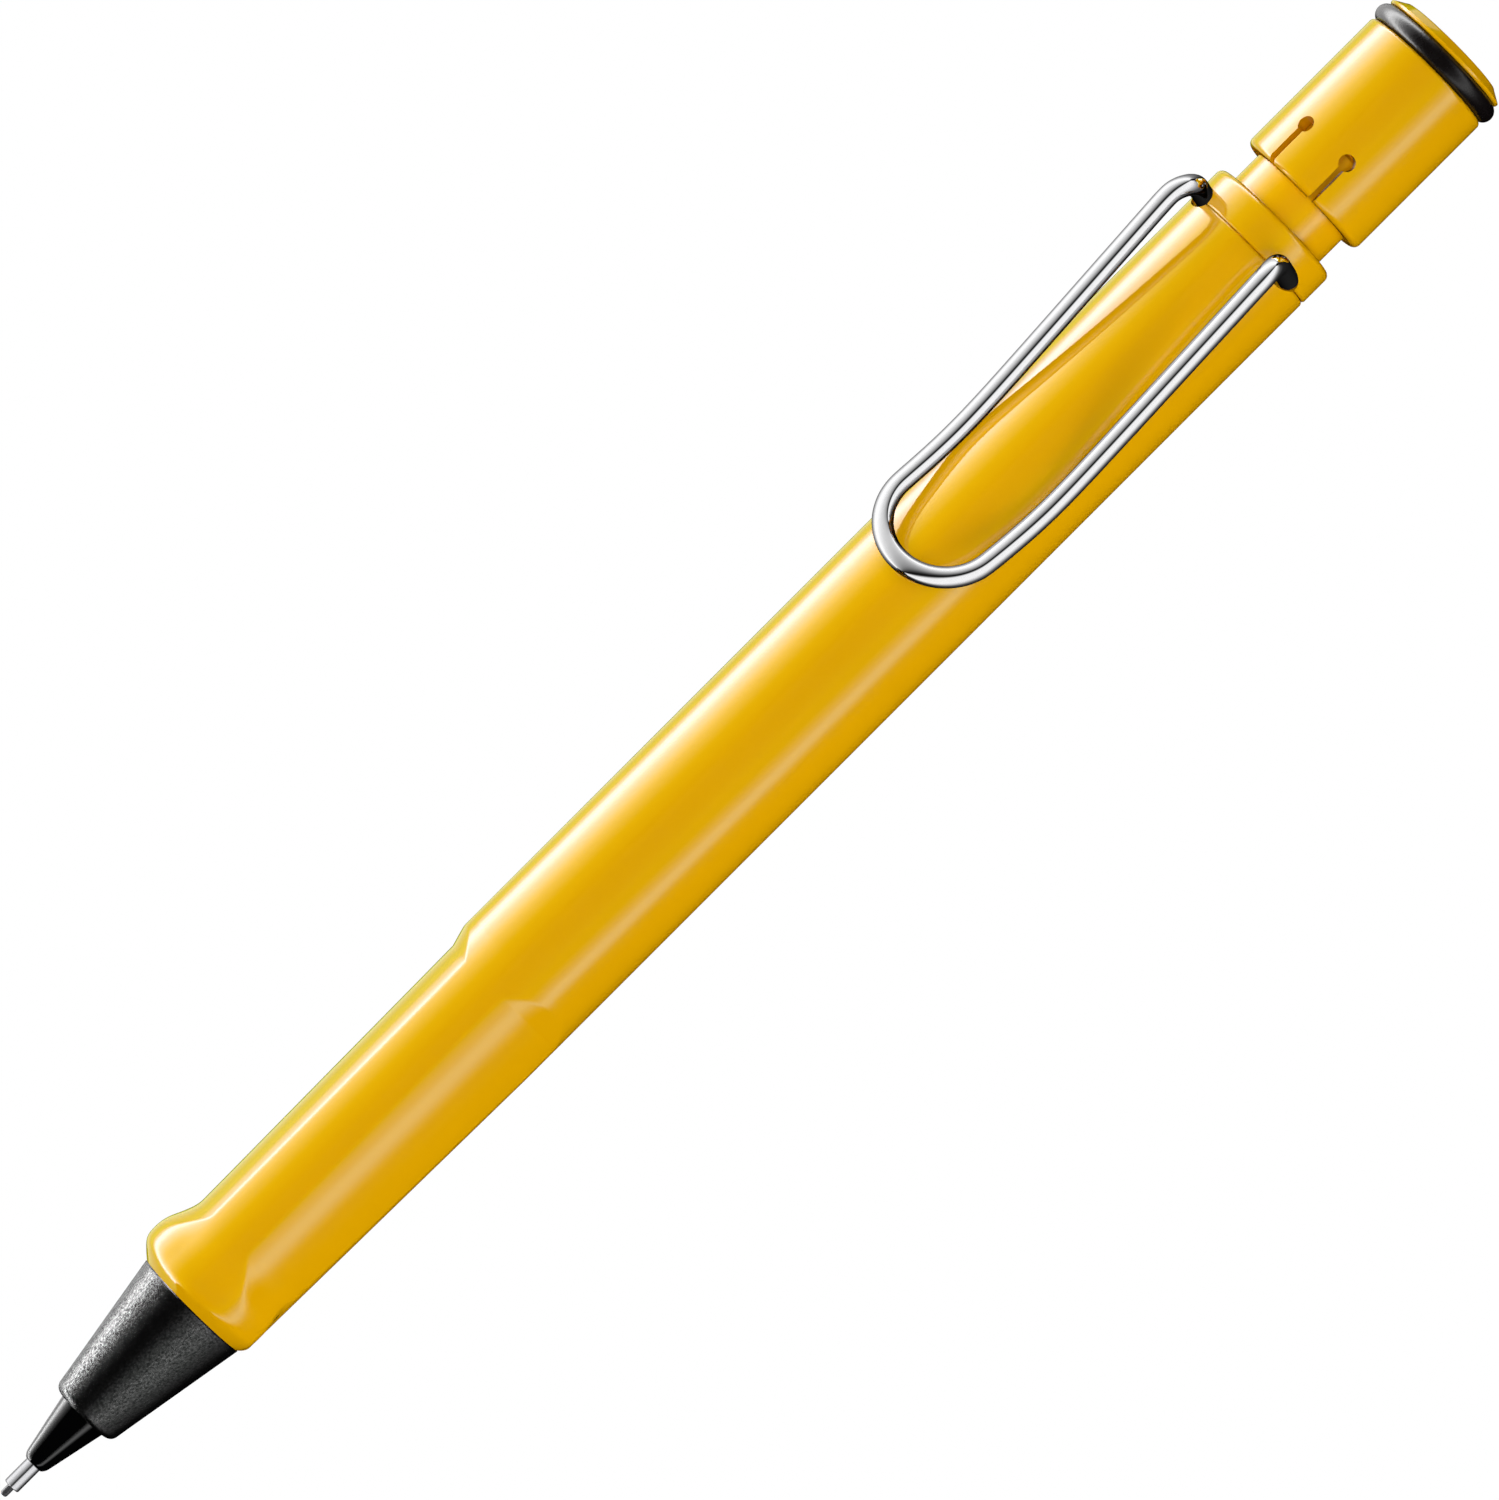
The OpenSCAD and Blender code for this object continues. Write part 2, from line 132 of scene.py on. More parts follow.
def cut(obj, cutters, sharp_deg=32):
    for cutter in cutters:
        mod = obj.modifiers.new("cut", "BOOLEAN")
        mod.operation = "DIFFERENCE"
        mod.solver = "EXACT"
        mod.object = cutter
    bpy.context.view_layer.update()
    result = bpy.data.meshes.new_from_object(obj.evaluated_get(bpy.context.evaluated_depsgraph_get()))
    obj.modifiers.clear()
    obj.data = result
    result.name = obj.name
    result.shade_smooth()
    result.set_sharp_from_angle(angle=math.radians(sharp_deg))
    for cutter in cutters:
        bpy.data.objects.remove(cutter)


def radial_cylinder(name, side, up0, up1, s, r, turn_deg=0.0, segments=48):
    """A cylinder along the clip direction, turned about the pencil's axis by turn_deg."""
    t = math.radians(turn_deg)
    rings = []
    for up in (up0, up1):
        ring = []
        for k in range(segments):
            a = 2 * math.pi * k / segments
            x, y = side + r * math.cos(a), up
            ring.append(at(x * math.cos(t) - y * math.sin(t), x * math.sin(t) + y * math.cos(t), s + r * math.sin(a)))
        rings.append(ring)
    return rings_to_object(name, rings, False, True)


def radial_slot(name, half_w, up0, up1, s0, s1, turn_deg):
    """A box-shaped slot from s0 to s1, turned about the pencil's axis by turn_deg."""
    t = math.radians(turn_deg)
    rings = []
    for up in (up0, up1):
        ring = []
        for x, s in ((-half_w, s0), (half_w, s0), (half_w, s1), (-half_w, s1)):
            ring.append(at(x * math.cos(t) - up * math.sin(t), x * math.sin(t) + up * math.cos(t), s))
        rings.append(ring)
    return rings_to_object(name, rings, False, True)


# ---------------------------------------------------------------- material tools

def material(name, color, roughness, metallic=0.0):
    mat = bpy.data.materials.new(name)
    mat.use_nodes = True
    bsdf = mat.node_tree.nodes["Principled BSDF"]
    bsdf.inputs["Base Color"].default_value = (*color, 1)
    bsdf.inputs["Roughness"].default_value = roughness
    bsdf.inputs["Metallic"].default_value = metallic
    mat.diffuse_color = (*color, 1)
    return mat


def node(mat, kind, **values):
    made = mat.node_tree.nodes.new(kind)
    for key, value in values.items():
        if key in made.inputs:
            made.inputs[key].default_value = value
        else:
            setattr(made, key, value)
    return made


def object_coords(mat, scale=(1, 1, 1)):
    coords = node(mat, "ShaderNodeTexCoord")
    mapping = node(mat, "ShaderNodeMapping")
    mapping.inputs["Scale"].default_value = scale
    mat.node_tree.links.new(coords.outputs["Object"], mapping.inputs["Vector"])
    return mapping.outputs["Vector"]


def noise(mat, vector, scale, detail=3.0, rough=0.5):
    tex = node(mat, "ShaderNodeTexNoise")
    tex.inputs["Scale"].default_value = scale
    tex.inputs["Detail"].default_value = detail
    tex.inputs["Roughness"].default_value = rough
    mat.node_tree.links.new(vector, tex.inputs["Vector"])
    return tex.outputs["Fac"]


def vary_color(mat, fac, low, high):
    ramp = node(mat, "ShaderNodeValToRGB")
    ramp.color_ramp.elements[0].position = 0.3
    ramp.color_ramp.elements[1].position = 0.7
    ramp.color_ramp.elements[0].color = (*low, 1)
    ramp.color_ramp.elements[1].color = (*high, 1)
    mat.node_tree.links.new(fac, ramp.inputs["Fac"])
    mat.node_tree.links.new(ramp.outputs["Color"], mat.node_tree.nodes["Principled BSDF"].inputs["Base Color"])


def vary_roughness(mat, fac, low, high):
    spread = node(mat, "ShaderNodeMapRange")
    spread.inputs["From Min"].default_value = 0.3
    spread.inputs["From Max"].default_value = 0.7
    spread.inputs["To Min"].default_value = low
    spread.inputs["To Max"].default_value = high
    mat.node_tree.links.new(fac, spread.inputs["Value"])
    mat.node_tree.links.new(spread.outputs["Result"], mat.node_tree.nodes["Principled BSDF"].inputs["Roughness"])


def bump(mat, fac, distance):
    made = node(mat, "ShaderNodeBump")
    made.inputs["Distance"].default_value = distance
    mat.node_tree.links.new(fac, made.inputs["Height"])
    mat.node_tree.links.new(made.outputs["Normal"], mat.node_tree.nodes["Principled BSDF"].inputs["Normal"])


def scaled(color, factor):
    return tuple(c * factor for c in color)


def moulded(name, color, rough_low, rough_high, grain_scale=9000, grain=0.0, tint=0.03, speckle=0.0):
    """Moulded plastic: slow colour and gloss drift, a fine grain and a sparkle where those are above zero."""
    mat = material(name, color, rough_low)
    vector = object_coords(mat)
    drift = noise(mat, vector, 60, 2.0)
    vary_color(mat, drift, scaled(color, 1 - tint), scaled(color, 1 + tint))
    vary_roughness(mat, noise(mat, vector, 900, 4.0, 0.6), rough_low, rough_high)
    if grain:
        bump(mat, noise(mat, vector, grain_scale, 3.0, 0.6), grain)
    if speckle:
        spread = node(mat, "ShaderNodeMapRange")
        spread.inputs["From Min"].default_value = 0.3
        spread.inputs["From Max"].default_value = 0.7
        spread.inputs["To Min"].default_value = 0.5 - speckle
        spread.inputs["To Max"].default_value = 0.5 + speckle
        mat.node_tree.links.new(noise(mat, vector, grain_scale, 1.0, 0.5), spread.inputs["Value"])
        bsdf = mat.node_tree.nodes["Principled BSDF"]
        mat.node_tree.links.new(spread.outputs["Result"], bsdf.inputs["Specular IOR Level"])
    return mat


def metal(name, color, rough_low, rough_high, lines=None, depth=2e-6):
    """Metal with drifting polish; lines stretches the noise along X, as drawing or turning leaves it."""
    mat = material(name, color, rough_low, metallic=1.0)
    vector = object_coords(mat, lines or (1, 1, 1))
    fac = noise(mat, vector, 2500, 4.0, 0.6)
    vary_color(mat, fac, scaled(color, 0.96), scaled(color, 1.0))
    vary_roughness(mat, fac, rough_low, rough_high)
    bump(mat, fac, depth)
    return mat


YELLOW = (0.67, 0.335, 0.0003)
mat_yellow = moulded("yellow_gloss_plastic", YELLOW, 0.045, 0.07, tint=0.015)
mat_seat = moulded("orange_yellow_plastic", (0.74, 0.27, 0.001), 0.2, 0.25, tint=0.015)
mat_black_matte = moulded("black_matte_plastic", (0.0015, 0.0015, 0.0015), 0.2, 0.25, 5600, 2e-5, tint=0.2,
                          speckle=0.3)
mat_black_gloss = moulded("black_gloss_lacquer", (0.0008, 0.0008, 0.0009), 0.06, 0.1, tint=0.1)
mat_rubber = moulded("black_rubber", (0.004, 0.003, 0.003), 0.24, 0.32, 5000, 1.2e-5, tint=0.1)
mat_chrome = metal("polished_chrome", (0.9, 0.9, 0.91), 0.02, 0.04, (0.3, 1, 1), 1e-7)
mat_steel = metal("bright_steel", (0.75, 0.75, 0.77), 0.12, 0.2, (8, 1, 1), 5e-7)
mat_brass = metal("turned_brass", (0.8, 0.56, 0.2), 0.18, 0.28, (8, 1, 1), 1e-6)
mat_alu = metal("drawn_aluminium", (0.8, 0.8, 0.82), 0.2, 0.32, (0.3, 1, 1), 1e-6)
mat_lead = moulded("graphite", (0.035, 0.035, 0.038), 0.28, 0.42, 12000, 3e-6, tint=0.2)
mat_tube = moulded("natural_plastic", (0.72, 0.72, 0.69), 0.3, 0.4, tint=0.03)
mat_grey_plastic = moulded("dark_grey_plastic", (0.03, 0.03, 0.033), 0.32, 0.42, 9000, 4e-6, tint=0.1)
mat_eraser = moulded("white_vinyl_eraser", (0.82, 0.82, 0.79), 0.6, 0.75, 4000, 2e-5, tint=0.03)


def finish_piece(obj, mat, body, node_name):
    obj.data.materials.clear()
    obj.data.materials.append(mat)
    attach(obj, body)
    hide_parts(node_name)
    return obj


# ---------------------------------------------------------------- barrel

RECESS_DEPTH_R, RECESS_TAPER, RECESS_CURVE_R, RECESS_ANGLE, GRIP_TURN = 4.49, 0.0083, 8.7, 59.3, 3.3
LIP_CROWN, RECESS_START, RECESS_END, GRIP_END = 19.2, 23.0, 47.2, 49.6
LOW_R, LIP_TOP_R, LIP_R = 4.8, 5.35, 5.68
EDGE_BLEND = 0.05


def soft_min(a, b, k=EDGE_BLEND):
    """The smaller of two radii, with the edge between them rounded over k."""
    h = max(k - abs(a - b), 0.0) / k
    return min(a, b) - h * h * k / 4


def body_r(s, a):
    """The barrel before its recesses are cut: it tapers toward the front, most on the side away from the clip."""
    low = min(BARREL_R, LOW_R + 0.0155 * (s - LIP_CROWN))
    return BARREL_R - (BARREL_R - low) * (0.65 + 0.35 * smooth((abs(a) - 40) / 60))


def recess_r(s, a):
    """The hollowed finger recess, a wide arc on each side of the clip."""
    depth_r = RECESS_DEPTH_R + RECESS_TAPER * (min(RECESS_END, max(RECESS_START, s)) - RECESS_START)
    f, c = math.radians(abs(a) - RECESS_ANGLE), RECESS_CURVE_R - depth_r
    return math.sqrt(RECESS_CURVE_R ** 2 - (c * math.sin(f)) ** 2) - c * math.cos(f)


def lip_edge_r(a):
    """The crown of the flared lip, highest at the sides and fading out toward the back."""
    crown = LIP_TOP_R + (LIP_R - LIP_TOP_R) * smooth((abs(a) - 16) / 27)
    return LOW_R + (crown - LOW_R) * smooth((98 - abs(a)) / 25)


def outer_r(s, a):
    base = body_r(s, a)
    return base + (max(lip_edge_r(a), base) - base) * smooth((22.5 - s) / 3)


def recess_rise(s):
    if s > RECESS_END:
        return (s - RECESS_END) * 0.29
    return (LIP_R - RECESS_DEPTH_R + 0.03) * smooth((RECESS_START - s) / (RECESS_START - LIP_CROWN))


def front_cap_r(s):
    return 4.38 + 1.3 * math.sin(math.pi / 2 * min(1.0, (s - BARREL_FRONT) / 1.75))


def grip_r(s, a):
    return soft_min(soft_min(outer_r(s, a), recess_r(s, a) + recess_rise(s)), front_cap_r(s), 0.4)


def make_barrel():
    n = 360
    rows = [BARREL_FRONT + 0.02 * i for i in range(5)]
    rows += [BARREL_FRONT + 0.1 + (RECESS_START - BARREL_FRONT - 0.1) * i / 56 for i in range(57)]
    rows += [RECESS_START + (RECESS_END - RECESS_START) * i / 40 for i in range(1, 41)]
    rows += [RECESS_END + (GRIP_END - RECESS_END) * i / 30 for i in range(1, 31)]
    rings = []
    for s in sorted(rows):
        ring = []
        for k in range(n):
            a = 360 * k / n - 180
            r, turned_a = grip_r(s, a), math.radians(a + GRIP_TURN)
            ring.append(at(r * math.sin(turned_a), r * math.cos(turned_a), s))
        rings.append(ring)
    inner = [(5.19, 70), (5.19, 95), (5.19, 110), (5.19, 116), (5.19, 117.5), (5.19, 118.1), (5.19, 118.6)]
    inner += arc(BARREL_R - 0.25, BARREL_REAR - 0.25, 0.25, 0, 45, 3)
    inner += [(4.94, BARREL_REAR), (4.5, BARREL_REAR), (4.0, BARREL_REAR), (4.0, 105.5), (3.6, 105.5),
              (3.6, 41), (3.0, 41), (3.0, 27.5), (3.45, 27.5), (3.45, BARREL_FRONT)]
    for r, s in inner:
        rings.append([at(r * math.sin(math.radians(360 * k / n - 180)), r * math.cos(math.radians(360 * k / n - 180)), s)
                      for k in range(n)])
    obj = rings_to_object("barrel_shell", rings)
    cut(obj, clip_hole_cutters())
    return obj


def clip_hole_cutters():
    return [radial_cylinder("hole", side * 4.0, 1.4, 1.4 + BARREL_R, 119.12, 0.87) for side in (-1, 1)]


finish_piece(make_barrel(), mat_yellow, "holder", "barrel")


# ---------------------------------------------------------------- collar and neck

def make_collar():
    r, front, rear, round_r = 5.2, BARREL_REAR, 121.6, 0.5
    profile = [(3.05, 128.0), (3.05, 105.5), (3.98, 105.5), (3.98, front), (5.0, front)]
    profile += arc(r - 0.2, front + 0.2, 0.2, -60, 0, 4)
    profile += [(r, front + 0.7), (r, front + 1.2), (r, front + 1.7)]
    profile += arc(r - round_r, rear - round_r, round_r, 0, 90, 10)
    profile += [(4.25, rear)]
    profile += list(reversed(arc(4.18, rear + 0.15, 0.15, 180, 270, 4)))
    profile += [(4.03, 124.0), (4.03, 127.8), (3.83, 128.0)]
    obj = lathe("collar_bush", profile, 240)
    cut(obj, clip_hole_cutters())
    return obj


finish_piece(make_collar(), mat_yellow, "holder", "top_bush")


# ---------------------------------------------------------------- push button, ring and end disc

def make_button():
    r, front, rear = 5.15, BUTTON_FRONT, BUTTON_REAR
    profile = [(4.06, 130.8), (4.06, front + 0.03), (4.09, front)]
    profile += arc(r - 0.5, front + 0.5, 0.5, -90, 0, 10)
    profile += [(r, s) for s in (125.2, 126.2, 126.8, 127.2, 127.6, 128.0, 128.4, 129.2, 131, 133.5)]
    profile += arc(r - 0.3, rear - 0.3, 0.3, 0, 90, 6)
    profile += [(3.6, rear), (3.6, 134.3), (3.02, 134.3), (3.02, 130.8)]
    obj = lathe("button_cap", profile, 240)
    cutters = []
    for turn in (0, 180):
        for side in (-23, 23):
            angle = turn + side
            cutters.append(radial_slot("slot", 0.245, 3.4, 6.0, front - 1, front + 3.46, angle))
            cutters.append(radial_cylinder("keyhole", 0, 3.3, 6.1, front + 3.46, 0.6, angle))
    cut(obj, cutters)
    return obj


def make_o_ring():
    centre, section = 4.67, 0.74
    return lathe("o_ring", arc(centre, BUTTON_REAR + 0.75, section, 0, 357.5, 47), 192, 60)


def make_end_disc():
    disc_front = BUTTON_REAR + 1.5
    profile = [(2.5, disc_front - 0.1), (2.5, 134.35), (3.58, 134.35), (3.58, BUTTON_REAR), (3.92, BUTTON_REAR),
               (3.92, disc_front), (4.85, disc_front)]
    profile += arc(4.85, disc_front + 0.2, 0.2, -90, 20, 6)
    profile += [(4.25, DISC_REAR - 0.12), (4.12, DISC_REAR - 0.03)]
    profile += [(3.95, DISC_REAR), (2.0, DISC_REAR), (0.02, DISC_REAR)]
    profile += [(0.02, disc_front - 0.1)]
    return lathe("end_disc", profile, 192)


def make_seat():
    return lathe("seat_cup", [(1.76, 112.0), (1.76, 124.5), (2.35, 124.5), (2.35, 133.6), (2.7, 133.6), (3.0, 133.2),
                              (3.0, 125.0), (3.0, 112.0)], 96)


finish_piece(make_seat(), mat_seat, "mechanism", "button_seat")
finish_piece(make_button(), mat_yellow, "button", "push_button")
finish_piece(make_o_ring(), mat_rubber, "button", "button_o_ring")
finish_piece(make_end_disc(), mat_yellow, "button", "button_end_cap")


# ---------------------------------------------------------------- front end

def make_nose():
    front, rear, r0, r1, round_r = 6.9, BARREL_FRONT, 2.72, 4.38, 0.67
    profile = [(2.4, 25.9), (2.4, 15.1), (1.98, 15.1), (1.98, 11.2), (1.86, 11.2), (1.86, front)]
    profile += arc(r0 - round_r, front + round_r, round_r, -90, -9, 12)
    profile += [(r0 + (r1 - r0) * i / 12, front + round_r + (rear - 0.1 - front - round_r) * i / 12)
                for i in range(1, 13)]
    profile += [(r1 - 0.1, rear), (3.4, rear)]
    for i in range(9):
        s = rear + 1.2 + 0.75 * i
        profile += [(3.4, s - 0.2), (3.15, s), (3.4, s + 0.2)]
    profile += [(3.4, 25.6), (3.1, 25.9)]
    return lathe("nose_section", profile, 192)


def make_tip():
    profile = [(1.31, 11.2), (1.31, 8.0), (0.38, 8.0), (0.38, 7.0), (0.62, 7.0), (0.62, 2.15)]
    profile += [(0.7, 2.15), (0.78, 2.22), (0.86, 2.32), (0.93, 2.44), (0.99, 2.6)]
    profile += [(0.99 + 0.91 * i / 10, 2.6 + 4.3 * i / 10) for i in range(1, 11)]
    profile += [(1.85, 6.95), (1.85, 11.2)]
    return lathe("tip_cone_lacquered", profile, 128)


def make_sleeve():
    profile = [(0.3, 7.0), (0.3, 0.05), (0.35, 0.0), (0.49, 0.0)]
    profile += arc(0.49, 0.12, 0.12, -90, 0, 5)
    profile += [(0.61, 1.0), (0.61, 3.0), (0.61, 7.0)]
    return lathe("sleeve_tube", profile, 96)


def make_lead():
    tip = -LEAD_OUT
    profile = [(0.02, tip), (0.14, tip + 0.005), (0.2, tip + 0.03), (0.25, tip + 0.09), (0.272, tip + 0.2),
               (0.275, tip + 0.4), (0.275, 20.0), (0.275, 59.1), (0.25, 59.18)]
    return turned("lead_stick", profile, 48)


finish_piece(make_nose(), mat_black_matte, "tip_unit", "nose_cone")
finish_piece(make_tip(), mat_black_gloss, "tip_unit", "tip_cone")
finish_piece(make_sleeve(), mat_steel, "tip_unit", "guide_sleeve")
finish_piece(make_lead(), mat_lead, "lead", "writing_lead")


# ---------------------------------------------------------------- clip

CLIP_S, ENTRY, BEND_R = 119.25, 4.0, 2.0
LEG_SIDE, KNEE_SIDE, KNEE_S, KNEE_UP, LEG_RISE = 4.45, 4.262, 96.8, 4.152, 0.192
LOOP_SIDE, LOOP_S, LOOP_LEN, LOOP_LIFT, LOOP_CURL = 4.17, 91.2, 4.1, 1.35, 0.3


def leg_height(s):
    return KNEE_UP + LEG_RISE * (math.hypot(s - KNEE_S, 2.5) - 2.5)


def toe_height(d):
    return KNEE_UP + 0.0445 * d * d - 0.0018 * d ** 3


def half_clip():
    bend_s = CLIP_S - BEND_R
    base = leg_height(bend_s) - BEND_R
    points = [(ENTRY, 1.8 + (base - 1.8) * i / 8, CLIP_S) for i in range(8)]
    for i in range(25):
        t = math.pi / 2 * i / 24
        points.append((ENTRY + (LEG_SIDE - ENTRY) * smooth(i / 24), base + BEND_R * math.sin(t),
                       CLIP_S - BEND_R * (1 - math.cos(t))))
    for i in range(1, 41):
        s = bend_s + (KNEE_S - bend_s) * i / 40
        points.append((LEG_SIDE + (KNEE_SIDE - LEG_SIDE) * i / 40, leg_height(s), s))
    for i in range(1, 15):
        d = (KNEE_S - LOOP_S) * i / 14
        points.append((KNEE_SIDE + (LOOP_SIDE - KNEE_SIDE) * i / 14, toe_height(d), KNEE_S - d))
    low = toe_height(KNEE_S - LOOP_S)
    for i in range(1, 37):
        t = math.pi / 2 * i / 36
        points.append((LOOP_SIDE * math.cos(t), low + LOOP_LIFT * math.sin(t) + LOOP_CURL * math.sin(t) ** 2,
                       LOOP_S - LOOP_LEN * math.sin(t)))
    return [Vector(p) for p in points]


def make_clip():
    sides = 32
    half = half_clip()
    path = half + [Vector((-p.x, p.y, p.z)) for p in reversed(half[:-1])]
    # Averaging takes the last kinks out of the wire's line
    for _ in range(6):
        path = [path[0]] + [(a + 2 * b + c) / 4 for a, b, c in zip(path, path[1:], path[2:])] + [path[-1]]
    last = len(path) - 1
    rings = []
    normal = Vector((1, 0, 0))
    for i, p in enumerate(path):
        tangent = (path[min(i + 1, last)] - path[max(i - 1, 0)]).normalized()
        normal = (normal - normal.dot(tangent) * tangent).normalized()
        binormal = tangent.cross(normal)
        ring = []
        for k in range(sides):
            a = 2 * math.pi * k / sides
            q = p + WIRE_R * (math.cos(a) * normal + math.sin(a) * binormal)
            ring.append(at(q.x, q.y, q.z))
        rings.append(ring)
    return rings_to_object("clip_wire", rings, False, True, 50)


clip_wire = make_clip()
finish_piece(clip_wire, mat_chrome, "clip", "clip")
clip_wire.visible_shadow = False


# ---------------------------------------------------------------- materials of the CAD nodes that stay

INNER = {
    "lead_retainer": mat_rubber,
    "clutch_jaws": mat_brass,
    "clutch_ring": mat_brass,
    "clutch_sleeve": mat_grey_plastic,
    "return_spring": mat_steel,
    "lead_tube": mat_tube,
    "spare_leads": mat_lead,
    "eraser": mat_eraser,
    "eraser_ferrule": mat_alu,
    "cleaning_needle": mat_steel,
}
for name, mat in INNER.items():
    for material_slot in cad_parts[name].material_slots:
        material_slot.material = mat


# ---------------------------------------------------------------- camera at the photo's angle

CLIP_TURN = math.radians(16.2)
TOWARD = Vector((0, math.cos(CLIP_TURN), math.sin(CLIP_TURN)))
ACROSS = Vector((0, -math.sin(CLIP_TURN), math.cos(CLIP_TURN)))
ALONG = Vector((1, 0, 0))
RIGHT = (ALONG + ACROSS).normalized()
UP = (ALONG - ACROSS).normalized()
CAM_DISTANCE = 0.780
CAM_LOOK_S = 70.9
CAM_SHIFT_ACROSS = 0.092 * MM

target = at(0, 0, CAM_LOOK_S) + ACROSS * CAM_SHIFT_ACROSS
cam_data = bpy.data.cameras.new("camera")
cam_data.lens = 14.71 * CAM_DISTANCE * 1000 * 36 / 1500
cam_data.sensor_width = 36
cam_data.clip_start, cam_data.clip_end = 0.05, 20
camera = bpy.data.objects.new("camera", cam_data)
bpy.context.scene.collection.objects.link(camera)
camera.location = target + TOWARD * CAM_DISTANCE
rotation = Matrix((RIGHT, UP, TOWARD)).transposed()
camera.rotation_mode = "QUATERNION"
camera.rotation_quaternion = rotation.to_quaternion()
bpy.context.scene.camera = camera


# ---------------------------------------------------------------- stage and light

def stage_plane(name, corners, strength):
    mesh = bpy.data.meshes.new(name)
    mesh.from_pydata(corners, [], [(0, 1, 2, 3)])
    obj = bpy.data.objects.new(name, mesh)
    bpy.context.scene.collection.objects.link(obj)
    mat = bpy.data.materials.new(name)
    mat.use_nodes = True
    mat.node_tree.nodes.clear()
    out = mat.node_tree.nodes.new("ShaderNodeOutputMaterial")
    glow = mat.node_tree.nodes.new("ShaderNodeEmission")
    glow.inputs["Color"].default_value = (1, 1, 1, 1)
    glow.inputs["Strength"].default_value = strength
    mat.node_tree.links.new(glow.outputs["Emission"], out.inputs["Surface"])
    mesh.materials.append(mat)
    return obj


floor = stage_plane("floor", [(-8, -8, -0.0002), (8, -8, -0.0002), (8, 8, -0.0002), (-8, 8, -0.0002)], 1.0)
floor.visible_diffuse = floor.visible_glossy = floor.visible_transmission = floor.visible_shadow = False


def strip(name, stops, receivers, distance=0.35, half_len=0.9, color=(1, 1, 1)):
    """A curved light panel along the pencil, seen only in reflections: stops is a list of (angle, strength)."""
    start_deg, end_deg = stops[0][0], stops[-1][0]
    steps = max(24, int(abs(end_deg - start_deg)))
    verts, faces = [], []
    for i in range(steps + 1):
        a = math.radians(start_deg + (end_deg - start_deg) * i / steps)
        arm = (math.cos(a) * TOWARD + math.sin(a) * ACROSS) * distance
        for x in (-half_len, half_len):
            verts.append(at(0, 0, CAM_LOOK_S) + arm + ALONG * x)
    for i in range(steps):
        faces.append((2 * i, 2 * i + 1, 2 * i + 3, 2 * i + 2))
    mesh = bpy.data.meshes.new(name)
    mesh.from_pydata(verts, [], faces)
    level = mesh.attributes.new("level", "FLOAT", "POINT")
    for i in range(steps + 1):
        a = start_deg + (end_deg - start_deg) * i / steps
        value = 0.0
        for (a0, v0), (a1, v1) in zip(stops, stops[1:]):
            if min(a0, a1) <= a <= max(a0, a1):
                value = v0 + (v1 - v0) * (a - a0) / (a1 - a0)
        level.data[2 * i].value = level.data[2 * i + 1].value = value
    obj = bpy.data.objects.new(name, mesh)
    bpy.context.scene.collection.objects.link(obj)
    mat = bpy.data.materials.new(name)
    mat.use_nodes = True
    mat.node_tree.nodes.clear()
    out = mat.node_tree.nodes.new("ShaderNodeOutputMaterial")
    glow = mat.node_tree.nodes.new("ShaderNodeEmission")
    clear = mat.node_tree.nodes.new("ShaderNodeBsdfTransparent")
    both = mat.node_tree.nodes.new("ShaderNodeAddShader")
    attr = mat.node_tree.nodes.new("ShaderNodeAttribute")
    attr.attribute_name = "level"
    glow.inputs["Color"].default_value = (*color, 1)
    mat.node_tree.links.new(attr.outputs["Fac"], glow.inputs["Strength"])
    mat.node_tree.links.new(glow.outputs["Emission"], both.inputs[0])
    mat.node_tree.links.new(clear.outputs["BSDF"], both.inputs[1])
    mat.node_tree.links.new(both.outputs["Shader"], out.inputs["Surface"])
    mesh.materials.append(mat)
    obj.visible_camera = False
    obj.visible_diffuse = False
    obj.visible_shadow = False
    group = bpy.data.collections.new(name + "_receivers")
    for receiver in receivers:
        group.objects.link(receiver)
    obj.light_linking.receiver_collection = group
    return obj


def pieces(names):
    return [bpy.data.objects[name] for name in names]


YELLOW_PIECES = ("barrel_shell", "collar_bush", "button_cap", "end_disc")
MATTE_PIECES = ("nose_section",)
TIP_PIECES = ("tip_cone_lacquered",)
DARK_PIECES = ("lead_stick", "o_ring")
MIRROR_PIECES = ("clip_wire", "sleeve_tube")
INNER_METALS = ("clutch_jaws", "clutch_ring", "return_spring", "eraser_ferrule", "cleaning_needle")

# The strength of each panel by its angle round the pencil, in degrees from the camera
KEY_STOPS = [(-47, 0.0), (-52, 0.2), (-60, 0.75), (-67, 1.5), (-74, 2.7), (-81, 5.0), (-90, 7.6), (-99, 11.0),
             (-108, 13.0), (-115, 9.0), (-121, 5.4), (-134, 1.6), (-150, 1.2), (-165, 1.0)]
YELLOW_KEY_STOPS = KEY_STOPS[:10] + [(-121, 3.8), (-130, 0.5), (-140, 0.3), (-150, 0.6), (-165, 0.7)]
RIM_STOPS = [(-117, 0.0), (-126, 1.3), (-132, 1.8), (-149, 0.8), (-165, 0.7), (-176, 0.0)]
WARM_STOPS = [(-12, 0.0), (-27, 0.6), (-39, 1.4), (-52, 2.2), (-59, 2.7), (-73, 3.2), (-81, 2.3), (-89, 1.0),
              (-98, 0.0)]
SOFT_LOW_STOPS = [(5, 0.0), (15, 0.4), (25, 0.9), (34, 0.9), (42, 0.5), (47, 0.0)]
LOW_STOPS = [(33, 0.05), (40, 0.55), (47, 1.5), (53.5, 2.8), (60, 2.5), (66, 1.1), (70, 0.3), (76, 0.0)]
